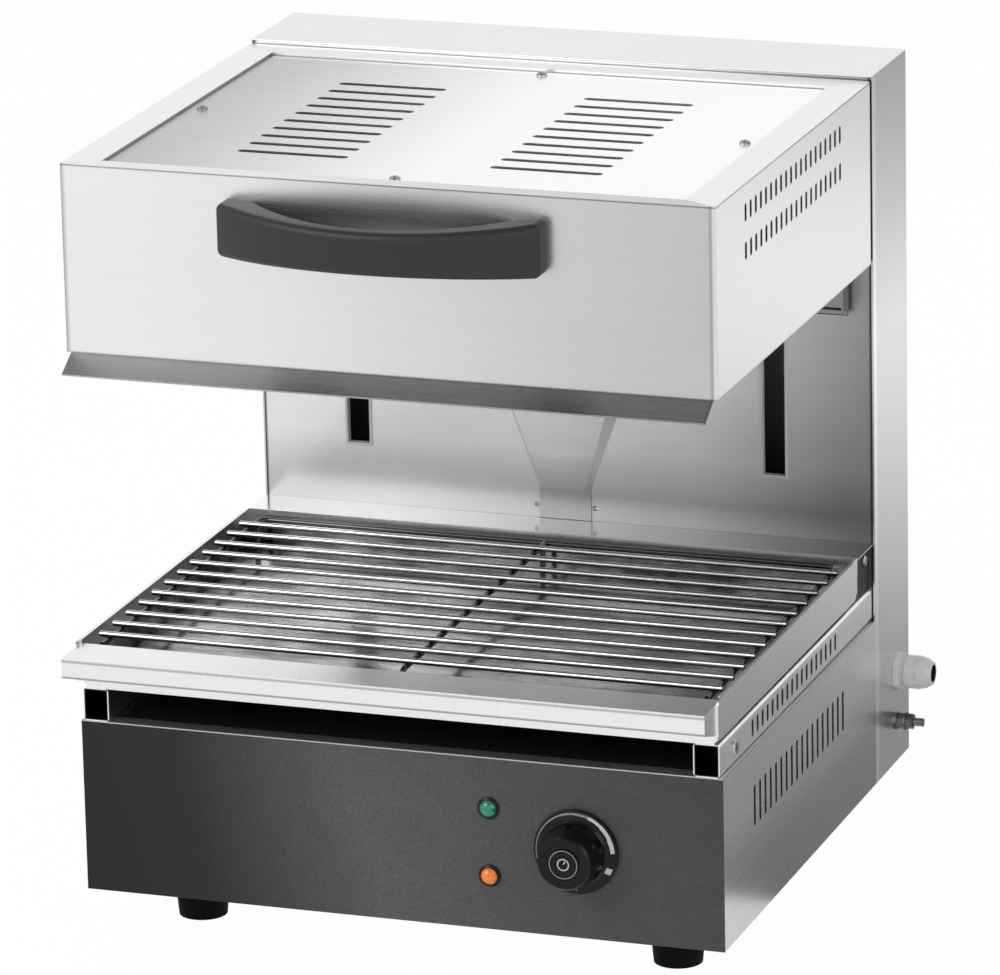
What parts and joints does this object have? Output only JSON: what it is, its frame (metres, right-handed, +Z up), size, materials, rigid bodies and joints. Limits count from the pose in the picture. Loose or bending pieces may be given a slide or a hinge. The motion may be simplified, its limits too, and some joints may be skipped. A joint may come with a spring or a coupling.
{
  "type": "lift salamander cheese melter",
  "caption": "Countertop cheese melter: heated hood sliding down a rear column over a wire grid in a pull-out drip tray, with a thermostat knob.",
  "frame": {"origin": "on the table, under the middle of the whole object's bounding box, with the hood raised", "axes": "+Z up, -Y towards the front with the handle and the controls, +X to the right seen from the front"},
  "size_m": [0.4765, 0.4839, 0.543],
  "materials": {
    "dark_panel": "dark grey coat, satin, faintly mottled",
    "black_deck": "black, matt",
    "stainless_side": "brushed",
    "stainless_front": "brushed along X",
    "stainless_top": "brushed along X",
    "stainless_rear": "brushed",
    "rail_steel": "satin",
    "rubber_black": "matt",
    "zinc_screws": "zinc plated",
    "lens_green": "clear, coloured",
    "lens_orange": "clear, coloured",
    "bezel_black": "gloss",
    "knob_black": "semi-gloss",
    "handle_black": "matt, fine grain",
    "spindle_steel": "ground steel",
    "earth_brass": "plain",
    "thermostat_case": "moulded",
    "terminal_plastic": "moulded",
    "gland_plastic": "moulded, light grey",
    "liner_pale": "pale",
    "guide_aluminium": "milled",
    "cylinder_black": "black, satin",
    "bush_bronze": "sintered bronze",
    "carriage_steel": "galvanised",
    "reflector_polished": "polished",
    "blanket_wool": "mineral wool",
    "element_grey": "oxidised sheath, matt",
    "tray_polished": "satin outside, polished floor",
    "wire_chrome": "plated"
  },
  "bodies": {
    "base": {"base_deck": "black_deck", "base_floor": "stainless_rear", "base_front_panel": "dark_panel", "base_side_left": "stainless_side", "base_side_right": "stainless_side", "casing_screws": "zinc_screws", "column_front_panel": "stainless_front", "column_rear_cover": "stainless_rear", "column_side_left": "stainless_side", "column_side_right": "stainless_side", "column_top_cap": "stainless_top", "duct_cover": "stainless_front", "earth_nuts": "spindle_steel", "earth_stud": "spindle_steel", "earth_washers": "earth_brass", "foot_bolts": "zinc_screws", "foot_front_left": "rubber_black", "foot_front_right": "rubber_black", "foot_rear_left": "rubber_black", "foot_rear_right": "rubber_black", "gas_spring_cylinders": "cylinder_black", "gland_body": "gland_plastic", "gland_dome_nut": "gland_plastic", "gland_locknut": "gland_plastic", "gland_seal": "rubber_black", "guide_blocks": "guide_aluminium", "guide_rod_left": "spindle_steel", "guide_rod_right": "spindle_steel", "lamp_bezels": "bezel_black", "lamp_lens_green": "lens_green", "lamp_lens_orange": "lens_orange", "rail_left": "rail_steel", "rail_right": "rail_steel", "rear_shelf": "stainless_front", "slot_liners": "liner_pale", "terminal_block": "terminal_plastic", "thermostat_body": "thermostat_case", "thermostat_nut": "spindle_steel"},
    "hood": {"lift_carriage": "carriage_steel", "carriers": "guide_aluminium", "guide_bushes": "bush_bronze", "gas_spring_rods": "spindle_steel", "hood_front_panel": "stainless_front", "hood_side_left": "stainless_side", "hood_side_right": "stainless_side", "hood_rear_panel": "stainless_rear", "hood_top_cover": "stainless_top", "cover_screws": "zinc_screws", "handle": "handle_black", "handle_screws": "zinc_screws", "reflector": "reflector_polished", "insulation_blanket": "blanket_wool", "heating_element_front": "element_grey", "heating_element_rear": "element_grey", "element_hangers": "carriage_steel"},
    "tray": {"drip_tray": "tray_polished"},
    "grid": {"grid_long_wires": "wire_chrome", "grid_cross_wires": "wire_chrome"},
    "knob": {"control_knob": "knob_black", "knob_spindle": "spindle_steel"}
  },
  "joints": [
    {"name": "hood_lift", "type": "slide", "parent": "base", "child": "hood", "axis": [0, 0, 1], "range_m": [-0.12, 0]},
    {"name": "tray_slide", "type": "slide", "parent": "base", "child": "tray", "axis": [0, -1, 0], "range_m": [0, 0.25]},
    {"name": "grid_lift", "type": "slide", "parent": "tray", "child": "grid", "axis": [0, 0, 1], "range_m": [0, 0.04]},
    {"name": "knob_turn", "type": "hinge", "parent": "base", "child": "knob", "pos_m": [0.1111, -0.19195, 0.0969], "axis": [0, -1, 0], "range_deg": [0, 300]}
  ]
}
